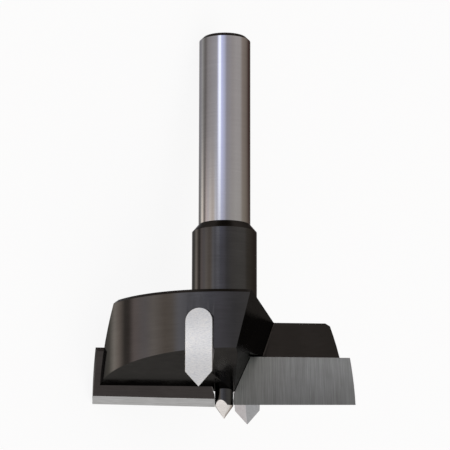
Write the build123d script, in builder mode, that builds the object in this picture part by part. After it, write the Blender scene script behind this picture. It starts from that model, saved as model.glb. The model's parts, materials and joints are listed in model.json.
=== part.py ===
from build123d import *
import os
from math import cos, radians, sin, sqrt, tan

os.makedirs("parts", exist_ok=True)

# Hinge boring bit: a turned and milled steel body with two brazed cutting tips and two
# brazed spurs. It is modelled upright first, with the centre point at the origin, the
# shank along +Z and the cutting edges along X, and is then laid down as it comes to rest.

# Driving dimensions, in millimetres and degrees

# Turned body
cutting_diameter = 40.0
head_clearance = 0.95  # between the cutting circle and the head, all round
head_height = 14.3  # from the cutting edges' outer corners to the head's top
head_rim_chamfer = 0.5
collar_diameter = 10.0
collar_length = 12.35
collar_root_radius = 0.6
cone_length = 1.2  # between the collar and the shank
shank_diameter = 8.0
shank_length = 29.95
shank_end_chamfer = 0.6

# Centre point
point_lead = 2.2  # how far it stands ahead of the cutting edges' outer corners
post_diameter = 2.8
point_angle = 71.0  # across the turned cone
flat_lean_angle = 27.0  # between the axis and each ground flat
flat_turn_angle = 246.0  # the way the first flat faces, from +X

# Cutting tips
hook_angle = 28.6  # how far the tips lean back from upright
edge_ahead = 1.07  # the edge's line passes this far ahead of the centre
edge_skew_angle = 2.8  # and is turned by this much, to meet the outer corner
edge_dish_angle = 0.8  # the edge drops this much towards the centre
tip_height = 9.1
tip_thickness = 1.7
tip_relief_angle = 20.0  # ground behind the cutting edge
tip_side_relief = 0.4  # shift of the grinding circle, for side clearance
post_gap = 0.02  # between the post and each tip

# Underside of the lobes
underside_step = 2.0  # from the cutting edges' outer corners up to the body at the centre
underside_angle = 10.4

# Chip spaces, each between a flat wall and the tip's seat
wall_offset = 6.5  # from the axis to the wall, at the head's top
wall_turn_angle = 8.6  # seen from above, it opens towards the seat
wall_lean_angle = 13.5
corner_radius = 0.4

# Pockets, ground into the wall in front of each tip's inner end
pocket_offset = 0.81  # from the axis, at the cutting edges
pocket_turn_angle = 3.4
pocket_lean_angle = 20.7
pocket_rise_angle = 7.4  # its ceiling rises towards the seat
pocket_headroom = 0.2  # between the tip's top and the ceiling

# Spurs
spur_turn_angle = 78.5  # from +X to the first spur
spur_width = 4.0
spur_length = 11.6
spur_thickness = 1.9
spur_proud = 0.75  # how far its flat outer face stands out of the head
spur_lead = 0.3  # how far its point stands ahead of the cutting edges
spur_point_angle = 84.0
spur_ridge_angle = 27.0  # between upright and the ridge inside the point
braze_gap = 0.06

# Levels and radii that follow from them
edge_level = point_lead
head_top = edge_level + head_height
underside_level = edge_level + underside_step
collar_top = head_top + collar_length
shank_start = collar_top + cone_length
shank_end = shank_start + shank_length
cutting_radius = cutting_diameter / 2
head_radius = cutting_radius - head_clearance
spur_reach = head_radius + spur_proud
collar_radius = collar_diameter / 2
shank_radius = shank_diameter / 2
post_radius = post_diameter / 2
cone_height = post_radius / tan(radians(point_angle / 2))
beyond = cutting_diameter  # every cut runs this far past the body

# The cutting edge runs outward along edge_way, and behind_way is square to it
edge_way = Vector(1, 0, 0).rotate(Axis.Z, edge_skew_angle)
behind_way = Vector(0, 1, 0).rotate(Axis.Z, edge_skew_angle)
up_way = Vector(0, 0, 1)
lean_way = up_way * cos(radians(hook_angle)) + behind_way * sin(radians(hook_angle))
face_plane = Plane(
    origin=Vector(0, -edge_ahead, edge_level), x_dir=edge_way, z_dir=edge_way.cross(lean_way)
)
seat_behind = tip_thickness / cos(radians(hook_angle))  # measured level, behind the face


def wall_line(level):
    """Offset and slope of the chip space's wall: x = offset + slope * y."""
    offset = wall_offset - (head_top - level) * tan(radians(wall_lean_angle))
    return offset, tan(radians(wall_turn_angle))


def pocket_line(level):
    """The same for the pocket's wall, which the tip's inner end lies against."""
    offset = pocket_offset + (level - edge_level) * tan(radians(pocket_lean_angle))
    return offset, tan(radians(pocket_turn_angle))


def seat_line(level):
    """Offset and slope of the tip's seat: y = offset + slope * x."""
    lean = (level - edge_level) * tan(radians(hook_angle))
    offset = (lean + seat_behind) / cos(radians(edge_skew_angle)) - edge_ahead
    return offset, tan(radians(edge_skew_angle))


def inner_corner(level, side_line):
    """Where a side wall meets the tip's seat at one level."""
    side_offset, side_slope = side_line(level)
    seat_offset, seat_slope = seat_line(level)
    inner_y = (seat_offset + seat_slope * side_offset) / (1 - side_slope * seat_slope)
    return Vector(side_offset + side_slope * inner_y, inner_y, level)


def cut_corners(level, side_line):
    """Section of a cut: side wall's outer end, inner corner, seat's outer end, outside."""
    side_offset, side_slope = side_line(level)
    seat_offset, seat_slope = seat_line(level)
    corner = inner_corner(level, side_line)
    return [
        (side_offset - side_slope * beyond, -beyond),
        (corner.X, corner.Y),
        (beyond, seat_offset + seat_slope * beyond),
        (beyond, -beyond),
    ]


# Chip space, the shape that the cutter takes out ahead of one tip
cut_overrun = 1.0
cut_foot = edge_level - cut_overrun
cut_crown = head_top + cut_overrun
with BuildPart() as chip_space:
    with BuildSketch(Plane.XY.offset(cut_foot)) as section:
        corners = cut_corners(cut_foot, wall_line)
        with BuildLine():
            Polyline(*corners, close=True)
        make_face()
        fillet(section.vertices().sort_by_distance(corners[1])[0], radius=corner_radius)
    corner_way = inner_corner(cut_crown, wall_line) - inner_corner(cut_foot, wall_line)
    extrude(amount=corner_way.length, dir=corner_way)

# Pocket, which clears the tip's inner end and ends above it in a sloping ceiling
tip_top = face_plane.from_local_coords(Vector(0, tip_height, 0))
ceiling_way = Vector(0, cos(radians(pocket_rise_angle)), sin(radians(pocket_rise_angle)))
with BuildPart() as tip_pocket:
    with BuildSketch(Plane.XY.offset(cut_foot)):
        with BuildLine():
            Polyline(*cut_corners(cut_foot, pocket_line), close=True)
        make_face()
    corner_way = inner_corner(cut_crown, pocket_line) - inner_corner(cut_foot, pocket_line)
    extrude(amount=corner_way.length, dir=corner_way)
    ceiling_origin = tip_top + up_way * pocket_headroom
    split(
        bisect_by=Plane(origin=ceiling_origin, x_dir=ceiling_way, z_dir=Vector(1, 0, 0).cross(ceiling_way)),
        keep=Keep.BOTTOM,
    )

# Relief, the wedge that is ground off under one lobe
relief_plane = Plane(origin=(0, 0, underside_level), x_dir=behind_way, z_dir=edge_way)
with BuildPart() as relief:
    with BuildSketch(relief_plane):
        with BuildLine():
            rise = beyond * tan(radians(underside_angle))
            Polyline((0, 0), (beyond, rise), (beyond, -rise), (0, -rise), close=True)
        make_face()
    extrude(amount=beyond, both=True)


def spur_face(turn, inward=0.0):
    """Plane of a spur's flat outer face, or of one that lies inward of it."""
    outward = Vector(1, 0, 0).rotate(Axis.Z, turn)
    across = Vector(0, 1, 0).rotate(Axis.Z, turn)
    return Plane(origin=outward * (spur_reach - inward), x_dir=across, z_dir=outward)


# Spur seat, open outward and downward
spur_point_level = edge_level - spur_lead
spur_crown_level = spur_point_level + spur_length - spur_width / 2
seat_half_width = spur_width / 2 + braze_gap
with BuildPart() as spur_seat:
    with BuildSketch(spur_face(spur_turn_angle, inward=spur_thickness)):
        with BuildLine():
            Line((-seat_half_width, 0), (seat_half_width, 0))
            Line((seat_half_width, 0), (seat_half_width, spur_crown_level))
            ThreePointArc(
                (seat_half_width, spur_crown_level),
                (0, spur_crown_level + seat_half_width),
                (-seat_half_width, spur_crown_level),
            )
            Line((-seat_half_width, spur_crown_level), (-seat_half_width, 0))
        make_face()
    extrude(amount=beyond)

# Ground flat of the centre point, from its tip to where the flat meets the post's side
flat_overrun = 0.4
flat_length = post_radius / sin(radians(flat_lean_angle))
with BuildPart() as point_flat:
    flat_way = Vector(1, 0, 0).rotate(Axis.Z, flat_turn_angle)
    flat_lean = up_way * cos(radians(flat_lean_angle)) + flat_way * sin(radians(flat_lean_angle))
    flat_across = up_way.cross(flat_way)
    with BuildSketch(Plane(origin=(0, 0, 0), x_dir=flat_across, z_dir=flat_across.cross(flat_lean))):
        Rectangle(post_diameter + 2 * flat_overrun, 2 * (flat_length + flat_overrun))
    extrude(amount=post_radius)

# Body: shank, cone, collar and head are turned, then the lobes are milled and ground
with BuildPart() as bit_body:
    with BuildSketch(Plane.XZ) as turned_half:
        with BuildLine():
            Polyline(
                (0, underside_level),
                (head_radius, underside_level),
                (head_radius, head_top - head_rim_chamfer),
                (head_radius - head_rim_chamfer, head_top),
                (collar_radius, head_top),
                (collar_radius, collar_top),
                (shank_radius, shank_start),
                (shank_radius, shank_end - shank_end_chamfer),
                (shank_radius - shank_end_chamfer, shank_end),
                (0, shank_end),
                close=True,
            )
        make_face()
        collar_root = turned_half.vertices().sort_by_distance((collar_radius, head_top))[0]
        fillet(collar_root, radius=collar_root_radius)
    revolve(axis=Axis.Z)
    with PolarLocations(0, 2):
        add(chip_space.part, mode=Mode.SUBTRACT)
        add(tip_pocket.part, mode=Mode.SUBTRACT)
        add(relief.part, mode=Mode.SUBTRACT)
        add(spur_seat.part, mode=Mode.SUBTRACT)
    with BuildSketch(Plane.XZ):
        with BuildLine():
            Polyline(
                (0, 0),
                (post_radius, cone_height),
                (post_radius, underside_level + post_radius),
                (0, underside_level + post_radius),
                close=True,
            )
        make_face()
    revolve(axis=Axis.Z)
    with PolarLocations(0, 2):
        add(point_flat.part, mode=Mode.SUBTRACT)

# Cutting tip: a carbide plate on the leading face of its lobe, ground to the cutting circle
edge_drop = tan(radians(edge_dish_angle))
with BuildPart() as cutting_tip_1:
    with BuildSketch(face_plane):
        with BuildLine():
            Polyline(
                (0, -cutting_radius * edge_drop),
                (cutting_diameter, (cutting_diameter - cutting_radius) * edge_drop),
                (cutting_diameter, tip_height),
                (0, tip_height),
                close=True,
            )
        make_face()
    extrude(amount=-tip_thickness)
    add(tip_pocket.part, mode=Mode.INTERSECT)
    with BuildSketch(Plane.XY):
        with Locations((0, -tip_side_relief)):
            Circle(cutting_radius)
    extrude(amount=head_top, mode=Mode.INTERSECT)
    split(bisect_by=Plane.YZ.offset(post_radius + post_gap), keep=Keep.TOP)
    edge_inner = face_plane.from_local_coords(Vector(0, -cutting_radius * edge_drop, 0))
    edge_outer = face_plane.from_local_coords(Vector(cutting_radius, 0, 0))
    ground_way = behind_way * cos(radians(tip_relief_angle)) + up_way * sin(radians(tip_relief_angle))
    along_edge = edge_outer - edge_inner
    split(
        bisect_by=Plane(origin=edge_inner, x_dir=along_edge, z_dir=along_edge.cross(ground_way)),
        keep=Keep.TOP,
    )

with BuildPart() as cutting_tip_2:
    with PolarLocations(0, 1, start_angle=180):
        add(cutting_tip_1.part)

# Spur: rounded crown, flat outer face, and a point ground from the inside to a ridge
spur_plane = spur_face(spur_turn_angle)
shoulder_height = spur_width / 2 / tan(radians(spur_point_angle / 2))
with BuildPart() as spur_1:
    with BuildSketch(spur_plane):
        with BuildLine():
            half_width = spur_width / 2
            shoulder_level = spur_point_level + shoulder_height
            Polyline(
                (-half_width, spur_crown_level),
                (-half_width, shoulder_level),
                (0, spur_point_level),
                (half_width, shoulder_level),
                (half_width, spur_crown_level),
            )
            ThreePointArc(
                (half_width, spur_crown_level),
                (0, spur_crown_level + half_width),
                (-half_width, spur_crown_level),
            )
        make_face()
    extrude(amount=-spur_thickness)
    spur_point = spur_plane.from_local_coords(Vector(0, spur_point_level, 0))
    ridge_way = up_way * cos(radians(spur_ridge_angle)) - spur_plane.z_dir * sin(radians(spur_ridge_angle))
    for side in (-1, 1):
        slant_way = up_way * shoulder_height + spur_plane.x_dir * side * half_width
        bevel_normal = slant_way.cross(ridge_way) * side
        split(bisect_by=Plane(origin=spur_point, x_dir=slant_way, z_dir=bevel_normal), keep=Keep.TOP)

with BuildPart() as spur_2:
    with PolarLocations(0, 1, start_angle=180):
        add(spur_1.part)

# Rest: the bit lies on one tip's outer corner, on the far lobe's trailing corner and on the
# rim of the shank's end
corner_y = edge_ahead - cutting_radius * tan(radians(edge_skew_angle))
tip_corner = Vector(-sqrt(cutting_radius**2 - corner_y**2), corner_y, edge_level)
rim_level = head_top - head_rim_chamfer
rim_offset, rim_slope = wall_line(rim_level)
half_chord = sqrt(head_radius**2 * (1 + rim_slope**2) - rim_offset**2)
trailing_y = (rim_offset * rim_slope + half_chord) / (1 + rim_slope**2)
trailing_corner = Vector(-rim_offset + rim_slope * trailing_y, trailing_y, rim_level)
rim_centre = Vector(0, 0, shank_end - shank_end_chamfer)
down_way = Vector(-1, 1, 0).normalized()  # a first guess, which each round corrects
settling_rounds = 30
for settling_round in range(settling_rounds):
    outward = Vector(down_way.X, down_way.Y, 0).normalized()
    shank_rim = rim_centre + outward * shank_radius
    down_way = (trailing_corner - tip_corner).cross(shank_rim - tip_corner).normalized()
    if down_way.dot(outward) < 0:
        down_way = -down_way
shank_way = up_way - down_way * up_way.dot(down_way)
first_floor = Plane(origin=tip_corner, x_dir=shank_way, z_dir=-down_way)

pieces = {
    "bit_body": bit_body,
    "cutting_tip_1": cutting_tip_1,
    "cutting_tip_2": cutting_tip_2,
    "spur_1": spur_1,
    "spur_2": spur_2,
}
box = Compound([first_floor.to_local_coords(piece.part) for piece in pieces.values()]).bounding_box()
box_centre = first_floor.from_local_coords(Vector(box.center().X, box.center().Y, box.min.Z))
floor = Plane(origin=box_centre, x_dir=shank_way, z_dir=-down_way)

for name, piece in pieces.items():
    with BuildPart() as lying:
        add(floor.to_local_coords(piece.part))
    lying.part.label = name
    export_step(lying.part, f"parts/{name}.step")
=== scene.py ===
import bpy
import json
import math
from mathutils import Matrix, Vector


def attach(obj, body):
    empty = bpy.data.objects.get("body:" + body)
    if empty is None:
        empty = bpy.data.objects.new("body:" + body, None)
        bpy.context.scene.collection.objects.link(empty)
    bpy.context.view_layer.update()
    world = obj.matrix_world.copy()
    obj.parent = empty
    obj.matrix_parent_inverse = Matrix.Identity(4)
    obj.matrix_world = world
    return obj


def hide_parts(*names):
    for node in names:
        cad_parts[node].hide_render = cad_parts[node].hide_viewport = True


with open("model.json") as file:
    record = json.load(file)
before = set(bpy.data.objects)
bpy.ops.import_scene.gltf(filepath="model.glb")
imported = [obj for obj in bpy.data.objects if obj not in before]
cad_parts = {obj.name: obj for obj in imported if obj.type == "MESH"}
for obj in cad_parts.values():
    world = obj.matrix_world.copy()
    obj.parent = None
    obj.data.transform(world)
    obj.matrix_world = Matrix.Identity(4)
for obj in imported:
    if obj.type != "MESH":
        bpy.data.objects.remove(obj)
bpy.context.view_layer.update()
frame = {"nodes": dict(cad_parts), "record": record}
cadNodes = frame["nodes"]
bpy.ops.object.select_all(action="DESELECT")
scene = bpy.context.scene
mm = 0.001
print("frame loaded:", ", ".join(sorted(cadNodes)))

# The bit's own axes. It lies on the floor, so its shank runs nearly along +X
shankMount = frame["record"]["mounts"][0]
shankWay = Vector(shankMount["axis"]).normalized()
shankPoint = Vector(shankMount["pos_m"])


def fromShank(place):
    step = Vector(place) - shankPoint
    along = step.dot(shankWay)
    return along, step - shankWay * along  # how far along, and the way out from the shank's line


bodyPlaces = [vertex.co for vertex in cadNodes["bit_body"].data.vertices]
tipAlong = min(fromShank(place)[0] for place in bodyPlaces)
pointTip = shankPoint + shankWay * tipAlong
edgePlaces = [vertex.co for vertex in cadNodes["cutting_tip_1"].data.vertices]
acrossWay = max((fromShank(place)[1] for place in edgePlaces), key=lambda way: way.length).normalized()
backWay = shankWay.cross(acrossWay)
bitTurn = Matrix((acrossWay, backWay, shankWay)).transposed().to_euler("XYZ")


# Camera: the photograph looks up at the bit from beyond its cutting end. The camera's place is
# in millimetres along the bit's own axes, counted from the centre point's tip, and its angles
# are in degrees
view = {
    "across": -3.20, "back": -400.0, "along": -57.99,
    "turn": 0.471, "pitch": 12.423, "roll": 0.123,
    "lens": 212.56, "sensor": 36.0,
    "clipStart": 0.01, "clipEnd": 10.0,  # in metres
}


def makeCamera():
    turn, pitch, roll = (math.radians(view[name]) for name in ("turn", "pitch", "roll"))
    place = acrossWay * view["across"] + backWay * view["back"] + shankWay * view["along"]
    look = (acrossWay * math.sin(turn) + backWay * math.cos(turn)) * math.cos(pitch)
    look += shankWay * math.sin(pitch)
    level = look.cross(shankWay).normalized()
    upright = level.cross(look)
    right = level * math.cos(roll) + upright * math.sin(roll)
    up = upright * math.cos(roll) - level * math.sin(roll)
    bpy.ops.object.camera_add(location=pointTip + place * mm)
    camera = bpy.context.object
    camera.name = "photoCamera"
    camera.rotation_mode = "QUATERNION"
    camera.rotation_quaternion = Matrix((right, up, -look)).transposed().to_quaternion()
    camera.data.lens = view["lens"]
    camera.data.sensor_width = view["sensor"]
    camera.data.clip_start = view["clipStart"]
    camera.data.clip_end = view["clipEnd"]
    scene.camera = camera


makeCamera()
print("camera in place")


# Short ways to build a node tree
def newMaterial(name):
    material = bpy.data.materials.new(name)
    material.use_nodes = True
    material.node_tree.nodes.clear()
    return material, material.node_tree


def addNode(tree, kind, values=None, **settings):
    node = tree.nodes.new(kind)
    for name, value in settings.items():
        setattr(node, name, value)
    for name, value in (values or {}).items():
        node.inputs[name].default_value = value
    return node


def join(tree, fromNode, toNode, outlet=0, inlet=0):
    tree.links.new(fromNode.outputs[outlet], toNode.inputs[inlet])


# A value that follows a node's outlet from one range to another, and stops at both ends
def follow(tree, source, outlet, reach, values=(0, 1), curve="LINEAR"):
    followed = addNode(tree, "ShaderNodeMapRange", {
        "From Min": reach[0], "From Max": reach[1], "To Min": values[0], "To Max": values[1],
    }, interpolation_type=curve)
    join(tree, source, followed, outlet, "Value")
    return followed


def combine(tree, operation, first, *others):
    for other in others:
        both = addNode(tree, "ShaderNodeMath", operation=operation)
        join(tree, first, both)
        join(tree, other, both, 0, 1)
        first = both
    return first


# Floor: white where the camera sees it, apart from a share that keeps the bit's shadow.
# Reflections pass through it, so that the metal shows the pale studio all round
plainWhite = (1, 1, 1, 1)
floorLook = {"size": 6.0, "colour": (0.93, 0.93, 0.93, 1), "whiteShare": 0.90}


def makeFloor():
    bpy.ops.mesh.primitive_plane_add(size=floorLook["size"], location=(0, 0, 0))
    floor = bpy.context.object
    floor.name = "floor"
    material, tree = newMaterial("paleFloor")
    out = addNode(tree, "ShaderNodeOutputMaterial")
    paint = addNode(tree, "ShaderNodeBsdfDiffuse", {"Color": floorLook["colour"]})
    white = addNode(tree, "ShaderNodeEmission", {"Color": plainWhite, "Strength": 1})
    clear = addNode(tree, "ShaderNodeBsdfTransparent")
    path = addNode(tree, "ShaderNodeLightPath")
    seen = addNode(tree, "ShaderNodeMath", {1: floorLook["whiteShare"]}, operation="MULTIPLY")
    mirrored = addNode(tree, "ShaderNodeMath", operation="MAXIMUM")
    paleMix = addNode(tree, "ShaderNodeMixShader")
    mix = addNode(tree, "ShaderNodeMixShader")
    join(tree, path, seen, "Is Camera Ray")
    join(tree, seen, paleMix, 0, "Fac")
    join(tree, paint, paleMix, 0, 1)
    join(tree, white, paleMix, 0, 2)
    join(tree, path, mirrored, "Is Glossy Ray")
    join(tree, path, mirrored, "Is Transmission Ray", 1)
    join(tree, mirrored, mix, 0, "Fac")
    join(tree, paleMix, mix, 0, 1)
    join(tree, clear, mix, 0, 2)
    join(tree, mix, out, 0, "Surface")
    floor.data.materials.append(material)


# Studio round the bit. Each panel is an angle about the bit's axis in degrees, counted to the
# right from the camera's side, and the light seen there. The head and the collar show the low
# ring, and the shank's upper part shows the high one. The foot, the top and the peak close the
# studio below and above. All heights are the sine of the angle above the bit's cross section
studio = {
    "lowRing": [
        (-180, (0.45, 0.43, 0.41)), (-160, (0.42, 0.40, 0.38)),
        (-143, (0.34, 0.32, 0.30)), (-131, (0.90, 0.85, 0.75)),
        (-121, (2.85, 2.6, 2.35)), (-114, (2.15, 1.85, 1.65)), (-104, (0.52, 0.46, 0.42)),
        (-98, (0.56, 0.48, 0.44)), (-91, (1.85, 1.56, 1.5)), (-78, (1.7, 1.56, 1.6)),
        (-68, (2.05, 1.85, 1.72)), (-56, (1.5, 1.28, 1.12)), (-49, (1.6, 1.4, 1.25)),
        (-41, (1.9, 1.9, 2.1)), (-34, (1.35, 1.35, 1.5)), (-25, (1.45, 1.45, 1.65)),
        (-14, (1.05, 1.05, 1.2)), (-2, (0.95, 0.92, 1.05)), (8, (0.70, 0.69, 0.74)),
        (28, (0.84, 0.80, 0.78)), (52, (0.93, 0.90, 0.86)), (76, (0.90, 0.85, 0.80)),
        (88, (0.62, 0.56, 0.48)), (106, (0.52, 0.45, 0.37)), (130, (0.34, 0.27, 0.23)),
        (143, (0.22, 0.17, 0.15)), (156, (0.15, 0.13, 0.12)), (165, (0.16, 0.14, 0.125)),
        (176, (0.38, 0.35, 0.33)),
    ],
    "highRing": [
        (-180, (0.60, 0.58, 0.57)), (-146, (0.60, 0.59, 0.64)), (-132, (0.74, 0.72, 0.78)),
        (-121, (0.86, 0.84, 0.85)), (-106, (0.46, 0.44, 0.43)), (-95, (0.37, 0.34, 0.34)),
        (-82, (0.66, 0.62, 0.64)), (-60, (0.80, 0.77, 0.82)), (-38, (0.92, 0.90, 0.98)),
        (-33, (1.15, 1.15, 1.4)), (-28, (2.5, 2.6, 3.2)), (-21, (3.3, 3.5, 4.0)),
        (-15, (1.65, 1.75, 2.6)), (-2, (1.25, 1.3, 1.75)), (9, (0.78, 0.75, 0.86)),
        (34, (0.84, 0.78, 0.79)), (52, (0.94, 0.88, 0.89)), (74, (0.92, 0.86, 0.86)),
        (86, (0.64, 0.54, 0.49)), (110, (0.48, 0.40, 0.35)), (123, (0.32, 0.25, 0.22)),
        (131, (0.16, 0.09, 0.08)), (158, (0.13, 0.10, 0.09)), (174, (0.48, 0.45, 0.43)),
    ],
    "highFrom": 0.195, "highTo": 0.255,
    "topFrom": 0.35, "topTo": 0.85, "top": (0.44, 0.385, 0.36),
    "peakFrom": 0.94, "peakTo": 0.995, "peak": (0.10, 0.08, 0.07),
    "footFrom": -0.38, "footTo": -0.68, "foot": (0.90, 0.87, 0.85),
}


# A ramp holds no light above 1, so every light is divided by the highest one
def rampColour(light, highest):
    return [value / highest for value in light] + [1]


def ringRamp(tree, angle, panels, highest):
    ramp = addNode(tree, "ShaderNodeValToRGB")
    while len(ramp.color_ramp.elements) < len(panels):
        ramp.color_ramp.elements.new(0.5)
    for element, (degrees, light) in zip(ramp.color_ramp.elements, panels):
        element.position = degrees / 360 + 0.5
        element.color = rampColour(light, highest)
    join(tree, angle, ramp, "Fac", "Fac")
    return ramp


def makeStudio():
    world = bpy.data.worlds.new("studio")
    scene.world = world
    world.use_nodes = True
    tree = world.node_tree
    tree.nodes.clear()
    highest = max(max(light) for ring in ("lowRing", "highRing") for degrees, light in studio[ring])
    lookTurn = Matrix((-backWay, acrossWay, shankWay)).to_euler("XYZ")
    out = addNode(tree, "ShaderNodeOutputWorld")
    way = addNode(tree, "ShaderNodeTexCoord")
    turned = addNode(tree, "ShaderNodeMapping", {"Rotation": lookTurn})
    angle = addNode(tree, "ShaderNodeTexGradient", gradient_type="RADIAL")
    height = addNode(tree, "ShaderNodeSeparateXYZ")
    join(tree, way, turned, "Generated", "Vector")
    join(tree, turned, angle)
    join(tree, turned, height)
    seen = ringRamp(tree, angle, studio["lowRing"], highest)
    for layer in ("high", "foot", "top", "peak"):
        reach = (studio[layer + "From"], studio[layer + "To"])
        mixed = addNode(tree, "ShaderNodeMixRGB")
        join(tree, follow(tree, height, "Z", reach, curve="SMOOTHSTEP"), mixed, "Result", "Fac")
        join(tree, seen, mixed, "Color", "Color1")
        if layer == "high":
            highRing = ringRamp(tree, angle, studio["highRing"], highest)
            join(tree, highRing, mixed, "Color", "Color2")
        else:
            mixed.inputs["Color2"].default_value = rampColour(studio[layer], highest)
        seen = mixed
    panels = addNode(tree, "ShaderNodeBackground", {"Strength": highest})
    white = addNode(tree, "ShaderNodeBackground", {"Color": plainWhite, "Strength": 1})
    path = addNode(tree, "ShaderNodeLightPath")
    mix = addNode(tree, "ShaderNodeMixShader")
    join(tree, seen, panels, "Color", "Color")
    join(tree, path, mix, "Is Camera Ray", "Fac")
    join(tree, panels, mix, 0, 1)
    join(tree, white, mix, 0, 2)
    join(tree, mix, out, 0, "Surface")


makeFloor()
makeStudio()
scene.view_settings.view_transform = "Standard"
print("floor and studio ready")

# Finishes. Each has a plain colour and roughness, and "edge", the share that it keeps of the
# brightness at a grazing angle. Its grain has the size of its marks across, back and along
# the bit in millimetres, how far they change tone and roughness, and how deep they are cut.
# Clouds are broader marks of one size. The tips' faces have painted shade towards the cutting edge
# and painted light towards the bit's middle, and the spurs a painted highlight band, all placed in
# millimetres on the bit's own axes
finishes = {
    "blackTurned": {
        "colour": (0.045, 0.044, 0.043), "metal": 1.0, "roughness": 0.095, "edge": 0.62,
        "grain": (3.0, 3.0, 0.10), "detail": 2.0, "tone": 0.10, "rough": 0.025, "depth": 0.0003,
        "cloud": 5.0, "cloudTone": 0.08, "cloudRough": 0.02,
    },
    "blackMilled": {
        "colour": (0.046, 0.0445, 0.0425), "metal": 1.0, "roughness": 0.17, "edge": 0.50,
        "grain": (1.6, 1.6, 0.25), "detail": 2.0, "tone": 0.08, "rough": 0.04, "depth": 0.0002,
        "cloud": 4.0, "cloudTone": 0.08, "cloudRough": 0.03,
    },
    "blackTip": {
        "colour": (0.046, 0.0415, 0.0405), "metal": 1.0, "roughness": 0.20, "edge": 0.50,
        "grain": (2.4, 2.4, 0.20), "detail": 2.0, "tone": 0.10, "rough": 0.04, "depth": 0.0002,
        "cloud": 3.0, "cloudTone": 0.08, "cloudRough": 0.03,
    },
    # painted shade: a copy of the black milled finish, darker at grazing angles, for the walls of the
    # pockets and chip spaces and the post's side
    "blackPocketShade": {
        "colour": (0.045, 0.045, 0.045), "metal": 1.0, "roughness": 0.22, "edge": 0.30,
        "grain": (1.6, 1.6, 0.25), "detail": 2.0, "tone": 0.08, "rough": 0.04, "depth": 0.0002,
        "cloud": 3.0, "cloudTone": 0.08, "cloudRough": 0.03,
    },
    "groundShank": {
        "colour": (0.30, 0.298, 0.295), "metal": 1.0, "roughness": 0.085, "edge": 0.72,
        "grain": (5.0, 5.0, 0.07), "detail": 3.0, "tone": 0.04, "rough": 0.015, "depth": 0.0003,
        "cloud": 7.0, "cloudTone": 0.03, "cloudRough": 0.012,
    },
    "groundPoint": {
        "colour": (0.69, 0.685, 0.675), "metal": 1.0, "roughness": 0.28, "edge": 1.0,
        "grain": (0.9, 0.9, 0.08), "detail": 2.0, "tone": 0.06, "rough": 0.06, "depth": 0.0008,
        "cloud": 1.2, "cloudTone": 0.04, "cloudRough": 0.04,
    },
    "carbideFace": {
        "colour": (0.262, 0.276, 0.26), "metal": 0.30, "roughness": 0.50, "edge": 1.0,
        "grain": (0.15, 9.0, 6.0), "detail": 3.0, "tone": 0.22, "rough": 0.08, "depth": 0.0005,
        "cloud": 3.0, "cloudTone": 0.06, "cloudRough": 0.04,
        # painted shade, darker towards the cutting edge, and painted light, brighter towards the bit's
        # middle beside the pocket wall
        "paintedShadeHeight": 9.0, "paintedShadeTone": 0.53, "paintedLightFrom": 2.0, "paintedLightTo": 11.0, "paintedLightTone": 1.5,
    },
    "carbideRelief": {
        "colour": (0.455, 0.465, 0.47), "metal": 1.0, "roughness": 0.45, "edge": 1.0,
        "grain": (2.4, 0.14, 0.14), "detail": 3.0, "tone": 0.26, "rough": 0.10, "depth": 0.0010,
        "cloud": 3.0, "cloudTone": 0.05, "cloudRough": 0.04,
    },
    "carbideSpur": {
        "colour": (0.54, 0.535, 0.475), "metal": 1.0, "roughness": 0.46, "edge": 1.0,
        "grain": (0.36, 0.36, 0.15), "detail": 3.0, "tone": 0.24, "rough": 0.12, "depth": 0.0012,
        "cloud": 2.6, "cloudTone": 0.11, "cloudRough": 0.05,
        # a painted highlight band, brightest at one height along the bit
        "highlightBandHeight": 8.8, "highlightBandReach": 4.5, "highlightBandTone": 1.10, "offHighlightBandTone": 0.87,
    },
    "carbideSide": {
        "colour": (0.415, 0.43, 0.445), "metal": 1.0, "roughness": 0.50, "edge": 1.0,
        "grain": (0.40, 0.40, 0.20), "detail": 3.0, "tone": 0.16, "rough": 0.10, "depth": 0.0008,
        "cloud": 2.0, "cloudTone": 0.06, "cloudRough": 0.05,
    },
}

# The noise of both patterns: nearly all of its values lie from low to high
noiseLook = {"roughness": 0.55, "low": 0.3, "high": 0.7, "cloudDetail": 2.0, "bump": 0.5}


# The bit's own coordinates, divided by a pattern's size along each axis
def bitPattern(tree, sizes):
    place = addNode(tree, "ShaderNodeTexCoord")
    laid = addNode(tree, "ShaderNodeMapping", {
        "Location": pointTip, "Rotation": bitTurn, "Scale": [size * mm for size in sizes],
    }, vector_type="TEXTURE")
    join(tree, place, laid, "Object", "Vector")
    return laid


# The bit's own coordinates in millimetres, one by one
def bitParts(tree):
    parts = addNode(tree, "ShaderNodeSeparateXYZ")
    join(tree, bitPattern(tree, (1, 1, 1)), parts)
    return parts


def patternNoise(tree, sizes, detail):
    noise = addNode(tree, "ShaderNodeTexNoise", {
        "Scale": 1, "Detail": detail, "Roughness": noiseLook["roughness"],
    })
    join(tree, bitPattern(tree, sizes), noise, 0, "Vector")
    return noise


# A number that swings about a middle value with a pattern's noise
def swing(tree, pattern, middle, reach):
    spread = (noiseLook["low"], noiseLook["high"])
    return follow(tree, pattern, 0, spread, (middle - reach, middle + reach))


# Painted shade, darker towards the cutting edge, and painted light, brighter towards the bit's middle
# where the pocket wall shades the face
def paintedShadeAndLightTone(tree, tone, look):
    parts = bitParts(tree)
    across = addNode(tree, "ShaderNodeMath", operation="ABSOLUTE")
    join(tree, parts, across, "X")
    fade = follow(tree, parts, "Z", (0, look["paintedShadeHeight"]), (look["paintedShadeTone"], 1))
    inner = follow(tree, across, 0, (look["paintedLightFrom"], look["paintedLightTo"]), (look["paintedLightTone"], 1))
    return combine(tree, "MULTIPLY", tone, fade, inner)


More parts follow.
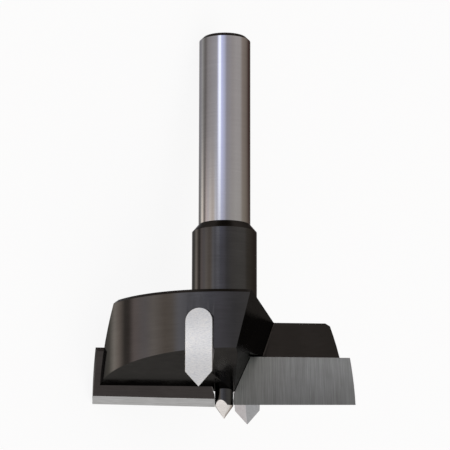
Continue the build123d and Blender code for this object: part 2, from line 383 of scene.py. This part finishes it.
# Painted highlight, brightest at one height along the bit
def paintedHighlightBand(tree, tone, look):
    above = addNode(tree, "ShaderNodeMath", {1: look["highlightBandHeight"]}, operation="SUBTRACT")
    away = addNode(tree, "ShaderNodeMath", operation="ABSOLUTE")
    join(tree, bitParts(tree), above, "Z")
    join(tree, above, away)
    tones = (look["highlightBandTone"], look["offHighlightBandTone"])
    band = follow(tree, away, 0, (0, look["highlightBandReach"]), tones, "SMOOTHSTEP")
    return combine(tree, "MULTIPLY", tone, band)


def metalFinish(name):
    look = finishes[name]
    material, tree = newMaterial(name)
    out = addNode(tree, "ShaderNodeOutputMaterial")
    metal = addNode(tree, "ShaderNodeBsdfPrincipled", {
        "Metallic": look["metal"], "Specular Tint": [look["edge"]] * 3 + [1],
    })
    grain = patternNoise(tree, look["grain"], look["detail"])
    cloud = patternNoise(tree, [look["cloud"]] * 3, noiseLook["cloudDetail"])
    grainTone = swing(tree, grain, 1, look["tone"])
    cloudTone = swing(tree, cloud, 1, look["cloudTone"])
    tone = combine(tree, "MULTIPLY", grainTone, cloudTone)
    if "paintedShadeTone" in look:
        tone = paintedShadeAndLightTone(tree, tone, look)
    if "highlightBandTone" in look:
        tone = paintedHighlightBand(tree, tone, look)
    colour = addNode(tree, "ShaderNodeVectorMath", {0: look["colour"]}, operation="SCALE")
    grainRough = swing(tree, grain, look["roughness"], look["rough"])
    cloudRough = swing(tree, cloud, 0, look["cloudRough"])
    rough = combine(tree, "ADD", grainRough, cloudRough)
    marks = addNode(tree, "ShaderNodeBump", {
        "Strength": noiseLook["bump"], "Distance": look["depth"] * mm,
    })
    join(tree, tone, colour, 0, "Scale")
    join(tree, colour, metal, 0, "Base Color")
    join(tree, rough, metal, 0, "Roughness")
    join(tree, grain, marks, 0, "Height")
    join(tree, marks, metal, 0, "Normal")
    join(tree, metal, out, 0, "Surface")
    return material


materials = {name: metalFinish(name) for name in finishes}
print("finishes made:", ", ".join(materials))


# Seams: each cutting tip's slanted inner end faces one of these ways, and the walls of the
# pockets and the chip spaces face the opposite ones
seamLook = {"across": 0.935, "back": 0.05, "along": 0.35, "facing": 0.98, "width": 0.06}


def slantWay(side):
    level = (acrossWay * seamLook["across"] - backWay * seamLook["back"]) * side
    return (level + shankWay * seamLook["along"]).normalized()


slantRight = slantWay(-1)
slantLeft = slantWay(1)


# The side that faces this way steps back, which leaves a narrow dark seam beside it
def openSeam(piece, way):
    bpy.ops.mesh.select_all(action="DESELECT")
    bpy.ops.object.mode_set(mode="OBJECT")
    for face in piece.data.polygons:
        face.select = face.normal.dot(way) > seamLook["facing"]
    bpy.ops.object.mode_set(mode="EDIT")
    bpy.ops.transform.translate(value=-way * seamLook["width"] * mm)


# Pieces: each is a merged copy of its CAD node, finished face by face, with its edges eased.
# Lengths are in millimetres and angles in degrees
copyLook = {
    "mergeWithin": 0.002, "flatAngle": 0.4, "easedAngle": 25, "easedSteps": 2, "smoothAngle": 30,
}


def copyNode(nodeName, pieceName, finishNames, chooseFinish, edgeWidth, seamWay=None):
    piece = bpy.data.objects.new(pieceName, cadNodes[nodeName].data.copy())
    scene.collection.objects.link(piece)
    piece.data.materials.clear()
    for name in finishNames:
        piece.data.materials.append(materials[name])
    bpy.ops.object.select_all(action="DESELECT")
    piece.select_set(True)
    bpy.context.view_layer.objects.active = piece
    bpy.ops.object.mode_set(mode="EDIT")
    bpy.ops.mesh.select_all(action="SELECT")
    bpy.ops.mesh.remove_doubles(threshold=copyLook["mergeWithin"] * mm)
    bpy.ops.mesh.dissolve_limited(angle_limit=math.radians(copyLook["flatAngle"]))
    if seamWay is not None:
        openSeam(piece, seamWay)
    bpy.ops.object.mode_set(mode="OBJECT")
    for face in piece.data.polygons:
        face.material_index = finishNames.index(chooseFinish(face))
    eased = piece.modifiers.new("easedEdges", "BEVEL")
    eased.width = edgeWidth * mm
    eased.segments = copyLook["easedSteps"]
    eased.limit_method = "ANGLE"
    eased.angle_limit = math.radians(copyLook["easedAngle"])
    bpy.ops.object.modifier_apply(modifier=eased.name)
    bpy.ops.object.shade_smooth_by_angle(angle=math.radians(copyLook["smoothAngle"]))
    evened = piece.modifiers.new("evenedNormals", "WEIGHTED_NORMAL")
    evened.keep_sharp = True  # flat faces stay flat beside their eased edges
    bpy.ops.object.modifier_apply(modifier=evened.name)
    return piece


# Body: the shank's round side and the centre point's tip are ground bright, and the rest is
# black: turned where it is round, milled where it is flat, and with painted shade on the post's side
# and on the walls of the pockets and the chip spaces, a darker and rougher copy of the black finish. A
# facing of 1 is straight that way
bodyLook = {
    "edgeWidth": 0.06, "shankMargin": 0.1, "shankFacing": 0.1, "pointHeight": 3.2, "pointFacing": 0.3,
    "roundFacing": 0.95, "postReach": 2.0, "wallFacing": 0.97,
}
bodyFinishes = ["blackTurned", "blackMilled", "blackPocketShade", "groundShank", "groundPoint"]
shankStart = -(shankMount["dims"]["length_mm"] / 2 + bodyLook["shankMargin"]) * mm


def bodyFinish(face):
    along, outWay = fromShank(face.center)
    lengthwise = face.normal.dot(shankWay)
    if along > shankStart and abs(lengthwise) < bodyLook["shankFacing"]:
        return "groundShank"
    if along - tipAlong < bodyLook["pointHeight"] * mm and -lengthwise > bodyLook["pointFacing"]:
        return "groundPoint"
    # the post's round side and the walls facing the slants take the painted shade finish
    if face.normal.dot(outWay.normalized()) > bodyLook["roundFacing"]:
        return "blackTurned" if outWay.length > bodyLook["postReach"] * mm else "blackPocketShade"
    if max(-face.normal.dot(slantRight), -face.normal.dot(slantLeft)) > bodyLook["wallFacing"]:
        return "blackPocketShade"
    return "blackMilled"


# Cutting tips: ground on their faces and behind their edges, and black elsewhere
tipLook = {"edgeWidth": 0.02, "groundFacing": 0.8}
tipFinishes = ["blackTip", "carbideFace", "carbideRelief"]


def tipFinish(faceWay):
    def choose(face):
        if face.normal.dot(faceWay) > tipLook["groundFacing"]:
            return "carbideFace"
        if -face.normal.dot(shankWay) > tipLook["groundFacing"]:
            return "carbideRelief"
        return "blackTip"
    return choose


# Spurs: ground brighter on their outer faces
spurLook = {"edgeWidth": 0.03, "outerFacing": 0.7}
spurFinishes = ["carbideSpur", "carbideSide"]


def spurFinish(face):
    outWay = fromShank(face.center)[1].normalized()
    return "carbideSpur" if face.normal.dot(outWay) > spurLook["outerFacing"] else "carbideSide"


body = copyNode("bit_body", "steelBody", bodyFinishes, bodyFinish, bodyLook["edgeWidth"])
tipRight = copyNode(
    "cutting_tip_1", "cuttingTipRight",
    tipFinishes, tipFinish(-backWay), tipLook["edgeWidth"], slantRight,
)
tipLeft = copyNode(
    "cutting_tip_2", "cuttingTipLeft",
    tipFinishes, tipFinish(backWay), tipLook["edgeWidth"], slantLeft,
)
spurRear = copyNode("spur_1", "spurRear", spurFinishes, spurFinish, spurLook["edgeWidth"])
spurFront = copyNode("spur_2", "spurFront", spurFinishes, spurFinish, spurLook["edgeWidth"])

for piece, nodeName, slot in (
    (body, "bit_body", "blackened_steel"),
    (tipRight, "cutting_tip_1", "carbide"),
    (tipLeft, "cutting_tip_2", "carbide"),
    (spurRear, "spur_1", "carbide"),
    (spurFront, "spur_2", "carbide"),
):
    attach(piece, "root")
    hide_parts(nodeName)
    print("piece", piece.name, "faces", len(piece.data.polygons))
